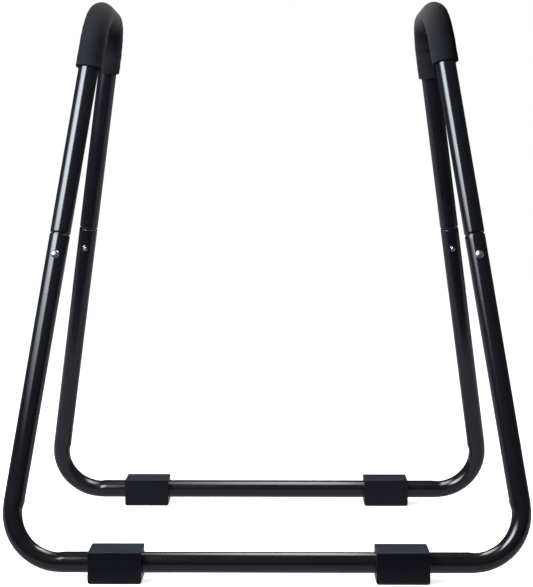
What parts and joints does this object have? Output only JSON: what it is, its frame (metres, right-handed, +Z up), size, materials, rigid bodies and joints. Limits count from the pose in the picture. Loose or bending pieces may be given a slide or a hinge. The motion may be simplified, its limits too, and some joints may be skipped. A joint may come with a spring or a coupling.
{
  "type": "parallel bar support stand",
  "caption": "Free-standing support frame: leaning U-shaped tube bases with bolted inverted-U handles, foam grips and rubber foot blocks on the crossbars.",
  "frame": {"origin": "on the floor, under the centre of the stand", "axes": "+Z up, -Y to the front, +X to the right of a viewer who faces the front; the crossbars run along X"},
  "size_m": [0.8094, 0.615, 0.897],
  "materials": {
    "black_enamel": "gloss black stoved enamel",
    "grip_foam": "matte closed-cell foam",
    "foot_rubber": "satin moulded rubber",
    "bright_zinc": "bright zinc plate",
    "dark_zinc": "black zinc plate"
  },
  "bodies": {
    "frame": {"front_base_tube": "black_enamel", "rear_base_tube": "black_enamel", "left_handle_tube": "black_enamel", "right_handle_tube": "black_enamel", "left_foam_grip": "grip_foam", "right_foam_grip": "grip_foam", "front_left_joint_bolt": "bright_zinc", "front_left_joint_washer": "dark_zinc", "front_left_joint_nut": "bright_zinc", "front_right_joint_bolt": "bright_zinc", "front_right_joint_washer": "dark_zinc", "front_right_joint_nut": "bright_zinc", "rear_left_joint_bolt": "bright_zinc", "rear_left_joint_washer": "dark_zinc", "rear_left_joint_nut": "bright_zinc", "rear_right_joint_bolt": "bright_zinc", "rear_right_joint_washer": "dark_zinc", "rear_right_joint_nut": "bright_zinc"},
    "front_left_foot_block": {"front_left_foot": "foot_rubber"},
    "front_right_foot_block": {"front_right_foot": "foot_rubber"},
    "rear_left_foot_block": {"rear_left_foot": "foot_rubber"},
    "rear_right_foot_block": {"rear_right_foot": "foot_rubber"}
  },
  "joints": [
    {"name": "front_left_foot_slide", "type": "slide", "parent": "frame", "child": "front_left_foot_block", "axis": [-1, 0, 0], "range_m": [-0.184, 0.043]},
    {"name": "front_right_foot_slide", "type": "slide", "parent": "frame", "child": "front_right_foot_block", "axis": [1, 0, 0], "range_m": [-0.161, 0.066]},
    {"name": "rear_left_foot_slide", "type": "slide", "parent": "frame", "child": "rear_left_foot_block", "axis": [-1, 0, 0], "range_m": [-0.184, 0.043]},
    {"name": "rear_right_foot_slide", "type": "slide", "parent": "frame", "child": "rear_right_foot_block", "axis": [1, 0, 0], "range_m": [-0.174, 0.053]}
  ]
}
